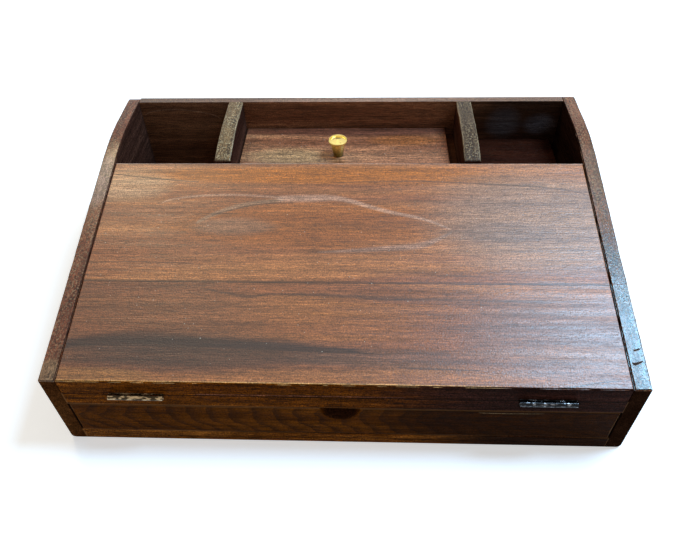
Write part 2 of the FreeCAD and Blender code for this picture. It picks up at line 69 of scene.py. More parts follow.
def colour(name, description, code):
    """A colour that a user would change."""
    return FloatVectorProperty(name=name, description=description, subtype="COLOR", size=3,
                               min=0.0, max=1.0, default=linear(code, alpha=False))


class StageSettings(bpy.types.PropertyGroup):
    """The floor, the lamps and the camera."""

    floor: colour("Floor", "Colour of the floor as the camera sees it", "f7f7f7")
    lift: FloatProperty(name="Floor lift", description="How far the floor is lifted to white",
                        default=0.55, min=0.0, max=1.0)
    key: FloatProperty(name="Key light", description="Power of the large soft lamp overhead",
                       default=3.0, min=0.0, unit="POWER")
    window: FloatProperty(name="Window light", description="Power of the cool lamp behind, right",
                          default=31.0, min=0.0, unit="POWER")
    warm: FloatProperty(name="Warm light", description="Power of the warm lamp behind, left",
                        default=5.2, min=0.0, unit="POWER")
    blush: FloatProperty(name="Rosy light", description="Power of the rosy lamp behind, right",
                         default=2.2, min=0.0, unit="POWER")
    sky: FloatProperty(name="Fill", description="Strength of the even light from all round",
                       default=0.2, min=0.0, max=1.0)
    lens: FloatProperty(name="Lens", description="Focal length of the camera", default=33.183,
                        min=10.0, max=200.0, unit="CAMERA")


class WoodSettings(bpy.types.PropertyGroup):
    """The stain and the wear of the boards."""

    dark: colour("Dark grain", "Colour of the darkest streaks", "3a2113")
    mid: colour("Stain", "Colour of most of the wood", "8c4f2d")
    light: colour("Light grain", "Colour of the palest streaks", "a96639")
    worn: colour("Worn edge", "Colour where the varnish is rubbed through", "c48d5c")
    gloss: FloatProperty(name="Roughness", description="Roughness of the varnish", default=0.34,
                         min=0.05, max=1.0)
    edge_wear: FloatProperty(name="Edge wear", description="Depth of the wear on the case's edges",
                             default=0.5 * MM, min=0.0, max=3 * MM, unit="LENGTH")


class MetalSettings(bpy.types.PropertyGroup):
    """The hinges and the knob."""

    brass: colour("Brass", "Colour of the polished brass", "f2da86")
    steel: colour("Steel", "Colour of the bare steel", "7d7e80")
    plating: colour("Plating", "Colour of the worn brass plating", "a38a68")


SETTINGS = {"stage": StageSettings, "wood": WoodSettings, "metal": MetalSettings}


def settings(kind):
    """The scene's own values of one group of settings."""
    return getattr(bpy.context.scene, PREFIX + "_" + kind)


def add_node(tree, kind, inputs=(), **choices):
    """Adds a node, sets what it is told and feeds its inputs, named or in order."""
    made = tree.nodes.new("ShaderNode" + kind)
    for name, value in choices.items():
        setattr(made, name, value)
    sockets = [socket for socket in made.inputs if socket.enabled]
    named = {socket.name: socket for socket in reversed(sockets)}
    for key, value in inputs.items() if isinstance(inputs, dict) else enumerate(inputs):
        socket = sockets[key] if isinstance(key, int) else named[key]
        if isinstance(value, bpy.types.Node):
            value = next(output for output in value.outputs if output.enabled)
        if isinstance(value, bpy.types.NodeSocket):
            tree.links.new(value, socket)
        else:
            socket.default_value = value
    return made


def new_material(name):
    """An empty node material, with the function that adds to its tree."""
    material = bpy.data.materials.new(name)
    material.use_nodes = True
    material.node_tree.nodes.clear()
    return material, partial(add_node, material.node_tree)


def dress(material, *names):
    """Gives CAD pieces a material."""
    for name in names:
        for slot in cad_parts[name].material_slots:
            slot.link = "OBJECT"
            slot.material = material


# what several nodes are told alike
TIMES = {"operation": "MULTIPLY"}
TIMES_PLUS = {"operation": "MULTIPLY_ADD"}
PLUS = {"operation": "ADD"}
LESS = {"operation": "SUBTRACT"}
LARGER = {"operation": "MAXIMUM"}
SMALLER = {"operation": "MINIMUM"}
EASED = {"interpolation_type": "SMOOTHSTEP"}
COLOURED = {"data_type": "RGBA"}

# ---- the stage ----

# the eye of someone in front of the box, in metres, and its turns in radians
EYE = Vector((0.017285, -0.376074, 0.41927))
PITCH, YAW, ROLL = 0.789, -0.059, -0.034
SENSOR = 36.0  # mm
NEAREST = 10 * MM  # what is closer to the camera isn't shown
BOX_MIDDLE = Vector((0.0, 0.0, 0.08))  # what the lamps look at, in metres
LAMPS = {
    # each lamp's place and size, in metres, and its tint
    "key": ((0.0, 0.45, 1.7), (1.5, 1.0), "f0eedc"),
    "window": ((0.8, 0.15, 1.5), (0.42, 0.5), "b4dcff"),
    "warm": ((-0.72, 0.8, 1.5), (0.3, 0.3), "f6e2b8"),
    "blush": ((0.72, 0.74, 1.5), (0.4, 0.4), "f0dcd0"),
}
FLOOR_HALF = 4.0  # metres
FLOOR_SHADE = "a0a0a0"  # the floor as the box sees it, so that little light comes up from it


def make_camera():
    """The camera, at the height and turn of someone standing in front of the box."""
    ahead = Vector((sin(YAW) * cos(PITCH), cos(YAW) * cos(PITCH), -sin(PITCH)))
    level = Vector((cos(YAW), -sin(YAW), 0.0))
    upright = level.cross(ahead)
    across = cos(ROLL) * level + sin(ROLL) * upright
    up = -sin(ROLL) * level + cos(ROLL) * upright
    data = bpy.data.cameras.new("view")
    data.sensor_width = SENSOR
    data.lens = settings("stage").lens
    data.clip_start = NEAREST
    camera = bpy.data.objects.new("view", data)
    bpy.context.collection.objects.link(camera)
    turn = Matrix((across, up, -ahead)).transposed()
    camera.matrix_world = Matrix.Translation(EYE) @ turn.to_4x4()
    bpy.context.scene.camera = camera


def make_lamp(name, place, size, power, tint):
    """A soft square lamp that looks at the middle of the box."""
    data = bpy.data.lights.new(name, "AREA")
    data.shape = "RECTANGLE"
    data.size, data.size_y = size
    data.energy = power
    data.color = linear(tint, alpha=False)
    lamp = bpy.data.objects.new(name, data)
    bpy.context.collection.objects.link(lamp)
    turn = (BOX_MIDDLE - Vector(place)).to_track_quat("-Z", "Y")
    lamp.matrix_world = Matrix.Translation(place) @ turn.to_matrix().to_4x4()


def from_eye(add):
    """Whether a ray comes from the eye, straight or by way of something shiny or clear."""
    rays = add("LightPath").outputs
    shiny = add("Math", [rays["Is Camera Ray"], rays["Is Glossy Ray"]], **LARGER)
    return add("Math", [shiny, rays["Is Transmission Ray"]], **LARGER)


def make_floor():
    """A pale floor that keeps the shadow, and that shades the box less than it shows."""
    mesh = bpy.data.meshes.new("floor")
    turns = ((-1, -1), (1, -1), (1, 1), (-1, 1))
    corners = [(x * FLOOR_HALF, y * FLOOR_HALF, 0) for x, y in turns]
    mesh.from_pydata(corners, [], [(0, 1, 2, 3)])
    floor = bpy.data.objects.new("floor", mesh)
    bpy.context.collection.objects.link(floor)
    # matt white paint: it has no shine, so the box's soft shadow is all that shows on it
    material, add = new_material("painted_floor")
    seen = from_eye(add)
    shown = tuple(settings("stage").floor) + (1.0,)
    tone = add("Mix", {"Factor": seen, "A": linear(FLOOR_SHADE), "B": shown}, **COLOURED)
    paint = add("BsdfDiffuse", {"Color": tone})
    lift = add("Math", [seen, settings("stage").lift], **TIMES)
    glow = add("Emission", {"Color": shown, "Strength": lift})
    add("OutputMaterial", {"Surface": add("AddShader", [paint, glow])})
    mesh.materials.append(material)


def make_world():
    """White all round to the eye, and a gentle even light on the box."""
    world = bpy.data.worlds.new("studio")
    bpy.context.scene.world = world
    world.use_nodes = True
    world.node_tree.nodes.clear()
    add = partial(add_node, world.node_tree)
    strength = add("Mix", {"Factor": from_eye(add), "A": settings("stage").sky, "B": 1.0})
    glow = add("Background", {"Color": linear("ffffff"), "Strength": strength})
    add("OutputWorld", {"Surface": glow})


class LETTERBOX_OT_stage(bpy.types.Operator):
    """Makes the floor, the lamps, the even light and the camera"""

    bl_idname = PREFIX + ".stage"
    bl_label = "Stage"

    def execute(self, context):
        context.scene.view_settings.view_transform = "Standard"
        make_camera()
        make_world()
        make_floor()
        for name, (place, size, tint) in LAMPS.items():
            make_lamp(name, place, size, getattr(settings("stage"), name), tint)
        return {"FINISHED"}


# ---- wood ----

LID_SLOPE = radians(13.1)
LID_FOOT = Vector((0.0, -140.0, 58.8))  # where the slope starts, on the front face, in mm

# The sizes of the wood's features, in mm: along the grain, then the two widths across it. Real
# fibres are a twentieth of a millimetre wide, pores and pits a fifth and lint a half; here they
# are as coarse as they need to be to show.
HEART_BAND = (210, 17, 17)  # where the stain turns to its paler shade
BAND = (130, 4.5, 4.5)
DASH = (34, 1.0, 1.0)
FIBRE = (11, 0.85, 0.85)
PORE = (4.2, 0.8, 0.8)
GRIT = (0.95, 0.85, 0.85)
RING_WAVER = (120, 22, 22)
PIT = (1.3, 1.5, 1.5)
PIT_PATCH = (9, 26, 9)
LINT = (1.6, 1.1, 1.1)

# how far these darken and lighten the wood, as a share of its colour
BAND_DEPTH, FIBRE_DEPTH, GRIT_DEPTH, DASH_DEPTH = 0.2, 0.34, 0.5, 0.24
PORE_COVER, DASH_COVER, PIT_COVER, NICK_COVER = 0.45, 0.5, 0.9, 0.95
PIT_TONE, NICK_TONE, LINT_TONE = "22130b", "140c08", "e8ddc8"
# how far these stand out of the wood or, under 0, lie in it, as shares of the grain's height
PORE_HEIGHT, GRIT_HEIGHT, PIT_HEIGHT, NICK_HEIGHT = -0.8, 1.3, -0.4, -9.0
GRAIN_HEIGHT = 0.3 * MM
GRAIN_RELIEF = 0.6
VARNISH_IOR = 1.5
GLOSS_SPREAD = (-0.05, 0.07)  # how the varnish's roughness varies from streak to streak
NICK_ROUGHNESS = 0.6  # what a cut adds to it, with no varnish left in it to shine

SEED_SHIFT = (7.3, 3.1, 5.7)  # how far the noises of two seeds lie apart
NOISE_SPAN = (0.3, 0.7)  # nearly all of a noise lies between these
# the part of a noise from the rim of each feature, where it starts, to where it's full
HEART_RIM = (0.36, 0.64)
PORE_RIM = (0.6, 0.74)
DASH_RIM = (0.6, 0.76)
PIT_RIM = (0.5, 0.62)
PATCH_RIM = (0.35, 0.65)
LINT_RIM = (0.845, 0.86)
LATE_WOOD = (0.35, 0.93)  # the part of a year's ring in which it darkens
YEAR_END = (0.95, 1.0)  # and the part in which it turns pale again
RAGGED = 0.9  # how far the rim of a mark strays, as a share of its reach
LINE_RIM = (0.3, 1.2)  # where a line fades, as shares of half its width
LINE_TAPER = 0.02  # how soon it fades at its ends, as a share of its length
RUBBED = (0.3, 1.0)  # how far from an edge the varnish is rubbed through, in mm
RUB_WAVER = 4.0  # how far that varies, in mm
CROWN_FACING = (0.4, 0.8)  # how far up a surface faces where its crown colour comes in
PIT_FACING = (0.3, 0.6)  # and where its pits do
LEAST_PITTED = 0.45  # how pitted a top still is between its worst patches


def on_board(place, tilted):
    """A place in millimetres along the board: across the box, up the slope and out of it."""
    place = Vector(place) / MM
    if tilted:
        place = Matrix.Rotation(-LID_SLOPE, 3, "X") @ (place - LID_FOOT)
    return place


def board_box(node, tilted):
    """The lowest and highest corners of a board, in its own directions."""
    places = [on_board(vertex.co, tilted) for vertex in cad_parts[node].data.vertices]
    return [Vector([pick(place[axis] for place in places) for axis in range(3)])
            for pick in (min, max)]


def board_point(add, tilted):
    """The point being shaded, in the board's own directions, in millimetres."""
    place = add("TexCoord").outputs["Object"]
    if not tilted:
        return add("VectorMath", {"Vector": place, "Scale": 1 / MM}, operation="SCALE")
    foot = tuple(-LID_FOOT)
    place = add("VectorMath", [place, (1 / MM,) * 3, foot], **TIMES_PLUS)
    return add("VectorRotate", {"Vector": place, "Angle": -LID_SLOPE}, rotation_type="X_AXIS")


def along_grain(add, point, grain):
    """The same point as length along the grain, then the two widths across it."""
    parts = add("SeparateXYZ", [point]).outputs
    order = {"X": "XYZ", "Y": "YXZ", "Z": "ZXY"}[grain]
    return add("CombineXYZ", [parts[axis] for axis in order])


def grain_noise(add, grained, seed, lengths, detail=2.0):
    """Three unlike noises whose features are so many millimetres long, wide and deep."""
    shrink = tuple(1 / length for length in lengths)
    shift = tuple(seed * part for part in SEED_SHIFT)
    place = add("VectorMath", [grained, shrink, shift], **TIMES_PLUS)
    made = add("TexNoise", {"Vector": place, "Scale": 1.0, "Detail": detail})
    return add("SeparateColor", [made.outputs["Color"]]).outputs


def growth_rings(add, grained, seed, pith, lean, spacing, wobble=5.0):
    """How dark the wood is within each year's ring: pale at its start and darkest at its end.

    The pith lies at a place across the grain and leans away from it along the board.
    """
    waver = grain_noise(add, grained, seed, RING_WAVER)
    bend = add("CombineXYZ", [0.0, waver["Green"], waver["Blue"]])
    bent = add("VectorMath", [bend, (0.0, wobble * 2, wobble * 2), grained], **TIMES_PLUS)
    sides = []
    for axis in (1, 2):
        way = [-lean[axis - 1], 0.0, 0.0]
        way[axis] = 1.0
        across = add("VectorMath", [bent, tuple(way)], operation="DOT_PRODUCT").outputs["Value"]
        sides.append(add("Math", [across, pith[axis - 1]], **LESS))
    from_pith = add("VectorMath", [add("CombineXYZ", [0.0, *sides])], operation="LENGTH")
    year = add("Math", [from_pith.outputs["Value"], spacing], operation="DIVIDE")
    age = add("Math", [year], operation="FRACT")
    late = add("MapRange", [age, *LATE_WOOD, 0.0, 1.0], **EASED)
    start = add("MapRange", [age, *YEAR_END, 1.0, 0.0], **EASED)
    return add("Math", [late, start], **TIMES)


def soft_mark(add, tone, point, waver, mark):
    """Lays one long soft mark over the wood's colour, ragged along the grain.

    It has a place, half lengths across the board and up it, a colour, a strength and a softness.
    """
    place, reach, code, strength, softness = mark
    parts = []
    for axis in range(2):
        low, high = place[axis] - reach[axis], place[axis] + reach[axis]
        part = add("MapRange", [point[axis], low, high, -1.0, 1.0], clamp=False)
        parts.append(add("Math", [part, part], **TIMES))
    away = add("Math", [waver, RAGGED, add("Math", parts, **PLUS)], **TIMES_PLUS)
    rim = 1 + RAGGED / 2
    cover = add("MapRange", [away, rim - softness, rim + softness, strength, 0.0], **EASED)
    return add("Mix", {"Factor": cover, "A": tone, "B": linear(code)}, **COLOURED)


def drawn_line(add, tone, point, waver, line):
    """Lays one long soft line over the wood's colour, on a smooth curve through its places.

    It has places, a colour, a strength and a raggedness. Each place is so far across the board
    and up it, and is followed by half the line's width there.
    """
    places, code, strength, ragged = line
    first, last = places[0][0], places[-1][0]
    along = add("MapRange", [point[0], first, last, 0.0, 1.0])
    traced = []
    for pick in (1, 2):
        least = min(place[pick] for place in places)
        span = max(place[pick] for place in places) - least or 1.0
        curve = add("FloatCurve", {"Value": along})
        trace = curve.mapping.curves[0]
        for place in places[1:-1]:
            trace.points.new(0.5, 0.5)
        for knot, place in zip(trace.points, places):
            knot.location = ((place[0] - first) / (last - first), (place[pick] - least) / span)
        curve.mapping.update()
        traced.append(add("Math", [curve, span, least], **TIMES_PLUS))
    middle = add("Math", [waver, ragged, traced[0]], **TIMES_PLUS)
    middle = add("Math", [middle, ragged / 2], **LESS)
    off = add("Math", [point[1], middle], **LESS)
    off = add("Math", [add("Math", [off], operation="ABSOLUTE"), traced[1]], operation="DIVIDE")
    cover = add("MapRange", [off, *LINE_RIM, strength, 0.0], **EASED)
    rest = add("Math", [1.0, along], **LESS)
    inside = add("MapRange", [add("Math", [along, rest], **TIMES), 0.0, LINE_TAPER, 0.0, 1.0])
    cover = add("Math", [cover, inside], **TIMES)
    return add("Mix", {"Factor": cover, "A": tone, "B": linear(code)}, **COLOURED)


def edge_distance(add, point, box):
    """The distance to the nearest edge of a box-shaped board."""
    below = add("VectorMath", [point, tuple(box[0])], **LESS)
    above = add("VectorMath", [tuple(box[1]), point], **LESS)
    near = add("SeparateXYZ", [add("VectorMath", [below, above], **SMALLER)]).outputs
    least = add("Math", [near["X"], near["Y"]], **SMALLER)
    most = add("Math", [near["X"], near["Y"]], **LARGER)
    return add("Math", [least, add("Math", [most, near["Z"]], **SMALLER)], **LARGER)


def upward(add):
    """How far the surface faces up, from 1 on top to -1 below."""
    return add("SeparateXYZ", [add("TexCoord").outputs["Normal"]]).outputs["Z"]


def fibrous(add, tone, dark, grained, seed, bands, streaks):
    """The colour broken up by the wood's streaks, fibres and pores, and how high they stand."""
    fibres = grain_noise(add, grained, seed + 2, FIBRE, detail=1.0)
    dashes = grain_noise(add, grained, seed + 3, DASH, detail=1.0)
    grit = grain_noise(add, grained, seed + 5, GRIT, detail=1.0)
    pores = grain_noise(add, grained, seed + 6, PORE, detail=0.0)
    depth = BAND_DEPTH * streaks
    value = add("MapRange", [bands["Red"], *NOISE_SPAN, 1 - depth, 1 + depth], **EASED)
    for noises, depth in ((fibres, FIBRE_DEPTH), (grit, GRIT_DEPTH), (dashes, DASH_DEPTH)):
        depth *= streaks
        part = add("MapRange", [noises["Red"], *NOISE_SPAN, 1 - depth, 1 + depth], clamp=False)
        value = add("Math", [value, part], **TIMES)
    tone = add("VectorMath", {"Vector": tone, "Scale": value}, operation="SCALE")
    short = add("MapRange", [pores["Red"], *PORE_RIM, 0.0, PORE_COVER], **EASED)
    long = add("MapRange", [dashes["Green"], *DASH_RIM, 0.0, DASH_COVER], **EASED)
    both = add("Math", [add("Math", [short, long], **LARGER), streaks], **TIMES)
    tone = add("Mix", {"Factor": both, "A": tone, "B": dark}, **COLOURED)
    height = add("Math", [both, PORE_HEIGHT, fibres["Green"]], **TIMES_PLUS)
    return tone, add("Math", [grit["Green"], GRIT_HEIGHT, height], **TIMES_PLUS)


def pitted_top(add, tone, height, point, seed, depth, fleck):
    """Open end grain on a board's top: pits and pale flecks about a millimetre wide."""
    top = add("MapRange", [upward(add), *PIT_FACING, 0.0, depth], **EASED)
    pits = grain_noise(add, point, seed, PIT, detail=1.0)
    wide = grain_noise(add, point, seed + 1, PIT_PATCH, detail=1.0)
    more = add("MapRange", [wide["Red"], *PATCH_RIM, LEAST_PITTED, 1.0], **EASED)
    top = add("Math", [top, more], **TIMES)
    for channel, code in (("Red", fleck), ("Green", PIT_TONE)):
        cover = add("MapRange", [pits[channel], *PIT_RIM, 0.0, PIT_COVER], **EASED)
        cover = add("Math", [cover, top], **TIMES)
        tone = add("Mix", {"Factor": cover, "A": tone, "B": linear(code)}, **COLOURED)
    return tone, add("Math", [cover, PIT_HEIGHT, height], **TIMES_PLUS)


def rubbed_edges(add, tone, point, broad, box, wear):
    """The colour with wood laid bare along the board's edges, here and there."""
    away = edge_distance(add, point, box)
    waver = add("Math", [broad["Green"], RUB_WAVER, -RUB_WAVER / 2], **TIMES_PLUS)
    away = add("Math", [away, waver], **PLUS)
    cover = add("MapRange", [away, *RUBBED, wear, 0.0], **EASED)
    bare = tuple(settings("wood").worn) + (1.0,)
    return add("Mix", {"Factor": cover, "A": tone, "B": bare}, **COLOURED)


def wood(name, node, seed, stain=None, light=None, grain="X", tilted=False, rings=None,
         ring_depth=0.35, marks=(), lines=(), nicks=(), drawn="XY", streaks=1.0, pitted=0.0,
         fleck="a07a56", crown=None, wear=0.0, gloss=None, level=0.5, sheen="ffffff", relief=1.0,
         dust=0.0):
    """A varnished board's material.

    The stain is paler, or light, in places. The grain runs along an axis of the board, which
    may be tilted as the lid is. Marks, lines and nicks, the places of short cuts, are drawn in
    two named directions. Streaks and relief make the grain stronger and deeper. A pitted top has
    flecks of a colour, and the crown is the colour of what faces up: on the front boards, whose
    stain is painted paler for the light they lack, it is the darker tone of their lit tops. Wear
    is how bare the edges are rubbed, and dust how white the lint is. The level and the sheen are
    the strength and the tint of the shine.
    """
    chosen = settings("wood")
    dark = tuple(chosen.dark) + (1.0,)
    material, add = new_material(name)
    point = board_point(add, tilted)
    grained = along_grain(add, point, grain)
    parts = add("SeparateXYZ", [point]).outputs
    parts = [parts[axis] for axis in drawn]

    broad = grain_noise(add, grained, seed, HEART_BAND)
    bands = grain_noise(add, grained, seed + 1, BAND)
    base = linear(stain) if stain else tuple(chosen.mid) + (1.0,)
    pale = linear(light) if light else tuple(chosen.light) + (1.0,)
    turn = add("MapRange", [broad["Red"], *HEART_RIM], **EASED)
    tone = add("Mix", {"Factor": turn, "A": base, "B": pale}, **COLOURED)
    if rings:
        year = growth_rings(add, grained, seed + 4, **rings)
        cover = add("Math", [year, ring_depth], **TIMES)
        tone = add("Mix", {"Factor": cover, "A": tone, "B": dark}, **COLOURED)
    for mark in marks:
        tone = soft_mark(add, tone, parts, bands["Green"], mark)
    for line in lines:
        tone = drawn_line(add, tone, parts, bands["Blue"], line)
    if crown:
        cover = add("MapRange", [upward(add), *CROWN_FACING, 0.0, 1.0], **EASED)
        tone = add("Mix", {"Factor": cover, "A": tone, "B": linear(crown)}, **COLOURED)
    tone, height = fibrous(add, tone, dark, grained, seed, bands, streaks)
    rough = add("MapRange", [bands["Blue"], *NOISE_SPAN, *GLOSS_SPREAD], **EASED)
    rough = add("Math", [rough, gloss or chosen.gloss], **PLUS)
    if pitted:
        tone, height = pitted_top(add, tone, height, point, seed + 6, pitted, fleck)
    if wear:
        tone = rubbed_edges(add, tone, point, broad, board_box(node, tilted), wear)
    if nicks:
        cut = linear("000000")
        for places in nicks:
            tone = drawn_line(add, tone, parts, 0.0, (places, NICK_TONE, NICK_COVER, 0.0))
            cut = drawn_line(add, cut, parts, 0.0, (places, "ffffff", 1.0, 0.0))
        height = add("Math", [cut, NICK_HEIGHT, height], **TIMES_PLUS)
        rough = add("Math", [cut, NICK_ROUGHNESS, rough], **TIMES_PLUS)
    if dust:
        specks = grain_noise(add, point, seed + 7, LINT, detail=0.0)
        cover = add("MapRange", [specks["Red"], *LINT_RIM, 0.0, dust])
        tone = add("Mix", {"Factor": cover, "A": tone, "B": linear(LINT_TONE)}, **COLOURED)
    bump = add("Bump", {"Height": height, "Strength": GRAIN_RELIEF * relief,
                        "Distance": GRAIN_HEIGHT})
    shader = add("BsdfPrincipled", {"Base Color": tone, "Roughness": rough, "IOR": VARNISH_IOR,
                                    "Specular IOR Level": level,
                                    "Specular Tint": linear(sheen), "Normal": bump})
    add("OutputMaterial", {"Surface": shader})
    return material


# ---- boards with worn edges ----

WORN_STEP = 3.0  # how far apart, in mm, a worn edge's cuts are
FLAT_SHARE = 0.015  # faces that turn one way are a flat side from this share of the area
ROUNDED_LEAN = 0.15  # how far a face of a rounded edge is turned up at least
TOP_LEAN = 0.9  # and how far a face of the top is
SIDE_LEAN = 0.9  # how far a face of a side is turned sideways at least
SAME_PLACE = 0.005 * MM
SAME_PLANE = radians(0.3)
SHARP = radians(35)


def cut_across(shape, low, high):
    """Cuts a board across in short lengths, so that its edges can wear unevenly."""
    axis = 0 if high.x - low.x > high.y - low.y else 1
    across = Vector((1, 0, 0)) if axis == 0 else Vector((0, 1, 0))
    count = int((high[axis] - low[axis]) / (WORN_STEP * MM))
    for k in range(1, count):
        place = Vector(low)
        place[axis] = low[axis] + (high[axis] - low[axis]) * k / count
        everything = [*shape.verts, *shape.edges, *shape.faces]
        bmesh.ops.bisect_plane(shape, geom=everything, plane_co=place, plane_no=across)
    shape.normal_update()


def flat_sides(shape):
    """Whether each face is part of a flat side or of a rounded edge."""
    ways = {face: tuple(round(part, 2) + 0.0 for part in face.normal) for face in shape.faces}
    areas = {}
    for face, way in ways.items():
        areas[way] = areas.get(way, 0.0) + face.calc_area()
    least = FLAT_SHARE * sum(areas.values())
    return {face: areas[way] > least for face, way in ways.items()}


def edge_moves(shape, flat, upright, depth, bumps, dents):
    """How far each vertex of the rounded upper edges is worn in, along the flat sides."""
    moves = {}
    for vertex in shape.verts:
        leans = {face: face.normal.dot(upright) for face in vertex.link_faces}
        if not any(not flat[face] and ROUNDED_LEAN < lean < TOP_LEAN
                   for face, lean in leans.items()):
            continue
        amount = depth * (0.5 + noise.noise(vertex.co / (bumps * MM)))
        for place, reach, deeper in dents:
            near = 1 - (vertex.co / MM - Vector(place)).length / reach
            amount += max(0.0, near) * deeper
        move = vertex.normal * max(0.0, amount) * MM
        for face, lean in leans.items():
            if flat[face] or lean >= TOP_LEAN:
                move -= face.normal * move.dot(face.normal)
        moves[vertex] = move
    return moves


def wear_rear(shape, flat, high, reach, depth):
    """Rounds off the rear upper corner over all the board's width."""
    for vertex in shape.verts:
        away = Vector((0.0, high.y - vertex.co.y, high.z - vertex.co.z)).length / MM
        near = max(0.0, 1 - away / reach)
        vertex.co -= Vector((0.0, 1.0, 1.0)) * near * near * depth * MM
        if near:
            flat.update({face: abs(face.normal.x) > SIDE_LEAN for face in vertex.link_faces})


def worn_board(node, body, skins, upright, wear, bumps=9.0, dents=(), rear=None):
    """A board with its upper edges worn uneven, and a finish for each way its faces turn.

    The wear is so many times the edge wear that is set, and the bumps in it are so many mm
    long. Each dent has a place, a reach and a depth in mm, and a worn rear corner a reach and a
    depth. A face has the first finish whose test it passes.
    """
    shape = bmesh.new()
    shape.from_mesh(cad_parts[node].data)
    bmesh.ops.remove_doubles(shape, verts=shape.verts, dist=SAME_PLACE)
    bmesh.ops.dissolve_limit(shape, angle_limit=SAME_PLANE, verts=shape.verts,
                             edges=shape.edges)
    low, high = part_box(node)
    cut_across(shape, low, high)
    flat = flat_sides(shape)
    depth = wear * settings("wood").edge_wear / MM
    moves = edge_moves(shape, flat, upright, depth, bumps, dents)
    if rear:
        wear_rear(shape, flat, high, *rear)
    for vertex, move in moves.items():
        vertex.co -= move
        vertex.co = Vector([min(max(vertex.co[k], low[k]), high[k]) for k in range(3)])
    for face in shape.faces:
        face.smooth = not flat[face]
    bmesh.ops.triangulate(shape, faces=[f for f in shape.faces if len(f.verts) > 4])
    shape.normal_update()
    for face in shape.faces:
        face.material_index = next(k for k, (skin, suits) in enumerate(skins)
                                   if suits(face.normal))
    for edge in shape.edges:
        edge.smooth = edge.calc_face_angle(0.0) < SHARP
    mesh = bpy.data.meshes.new("worn_" + node)
    shape.to_mesh(mesh)
    shape.free()
    piece = bpy.data.objects.new("worn_" + node, mesh)
    bpy.context.collection.objects.link(piece)
    for skin, suits in skins:
        mesh.materials.append(skin)
    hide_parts(node)
    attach(piece, body)


# ---- the case ----

UP = Vector((0.0, 0.0, 1.0))


def on_top(way):
    """Whether a face belongs to the top of a board that stands front to back."""
    return way.z > 0.15 and abs(way.x) < 0.3


def upper(way):
    """Whether a face turns more or less up."""
    return way.z > 0.3


def upper_edge(way):
    """Whether a face belongs to the rounded edges of a thin board's top."""
    return upper(way) and abs(way.x) < 0.95


def turned(side, way):
    """Whether a face turns to the right, for a side of 1, or to the left, for -1."""
    return way.x * side > 0.25


def any_way(way):
    """The rest of a board's faces."""
    return True


def finish_insides():
    """The boards inside the bins, and the cleats."""
    stains = {
        # each board's stain, with its paler streaks
        "cross_partition": ("432414", "55301d"),
        # the raised floor's near-black stain is painted shade, deep in its bin
        "compartment_floor": ("432414", "55301d"), "raised_floor": ("240d07", "30140a"),
        "left_cleat": ("432414", "55301d"), "right_cleat": ("432414", "55301d"),
    }
    for seed, (node, (stain, light)) in enumerate(stains.items(), start=10):
        # dark stain under thin dull varnish, darkened further by painted shade in the bins, most of
        # all on the raised floor: deep, even browns with hardly a shine
        dress(wood("varnished_" + node, node, seed, stain=stain, light=light, level=0.05), node)


def finish_back():
    """The tall back board."""
    scuffs_and_painted_shade = (
        # painted shade over the right bin's part of the wall
        ((175, 108), (60, 60), "1c0f0b", 0.85, 0.8),
        ((142, 102), (13, 14), "77777c", 0.4, 1.2),
        ((175, 101), (12, 9), "7d7d84", 0.45, 1.2),
    )
    swirl = (((-190, 110, 0.5), (-165, 117, 0.5), (-140, 115, 0.5), (-118, 106, 0.4)),
             "b08a70", 0.6, 0.6)
    # scuffed varnish: a mid brown with grey rubs and little shine, and painted shade that darkens it
    # to the right, in the right bin
    wall = wood("varnished_back_panel", "back_panel", 16, stain="784c32", light="946444",
                level=0.2, marks=scuffs_and_painted_shade, lines=(swirl,), drawn="XZ")
    # varnish worn to the wood on the rim: rosy and shiny, with pits and pale flecks
    rim = wood("varnished_back_top", "back_panel", 17, stain="7a5440", light="97705a",
               marks=(((-150, 135), (80, 30), "4a2e20", 0.7, 0.5),), pitted=0.6, gloss=0.3)
    worn_board("back_panel", "case", ((rim, upper), (wall, any_way)), UP, 1.8,
               bumps=24.0)


def finish_front():
    """The rail and the base board, with painted shade darkening their right halves."""
    # orange-brown varnish that no lamp reaches, painted paler for the light it lacks, with a darker
    # crown where lamps light the top: strong streaks and pores, rubbed pale edges
    look = {"level": 0.005, "wear": 0.4, "streaks": 1.5, "crown": "55301c", "drawn": "XZ"}
    # painted shade over the right half
    shade = ((190, 50), (150, 60), "3c221e", 0.95, 0.6)
    seam = (((-200, 58.4, 0.7), (200, 58.4, 0.7)), "160c06", 0.9, 0.2)
    dress(wood("varnished_front_rail", "front_rail", 20, stain="7a3d0b", light="985316",
               marks=(shade,), lines=(seam,), **look), "front_rail")
    # painted shade over the right half
    shade = ((200, 6), (125, 60), "2a1710", 0.95, 0.6)
    dress(wood("varnished_base_board", "base_board", 21, stain="955016", light="b46c2a",
               marks=(shade,), **look), "base_board")


def finish_dividers(inside):
    """The two low boards between the bins."""
    # bare wood where the varnish is gone from the edges: pale yellow-brown, a little shiny
    rubbed = wood("rubbed_edge", "left_divider", 33, stain="8f7757", light="b59c78",
                  grain="Y", gloss=0.3)
    stains = {"left_divider": ("5c3f24", "755838", "bca67e"),
              "right_divider": ("382516", "4c3826", "90795a")}
    for seed, (node, (stain, light, fleck)) in enumerate(stains.items(), start=30):
        # open grain in old varnish: a brown top full of pits and pale flecks
        top = wood("varnished_%s_top" % node, node, seed, stain=stain, light=light,
                   grain="Y", pitted=1.1, fleck=fleck, gloss=0.3, level=0.2)
        skins = ((top, on_top), (rubbed, upper_edge), (inside, any_way))
        worn_board(node, "case", skins, UP, 0.6)


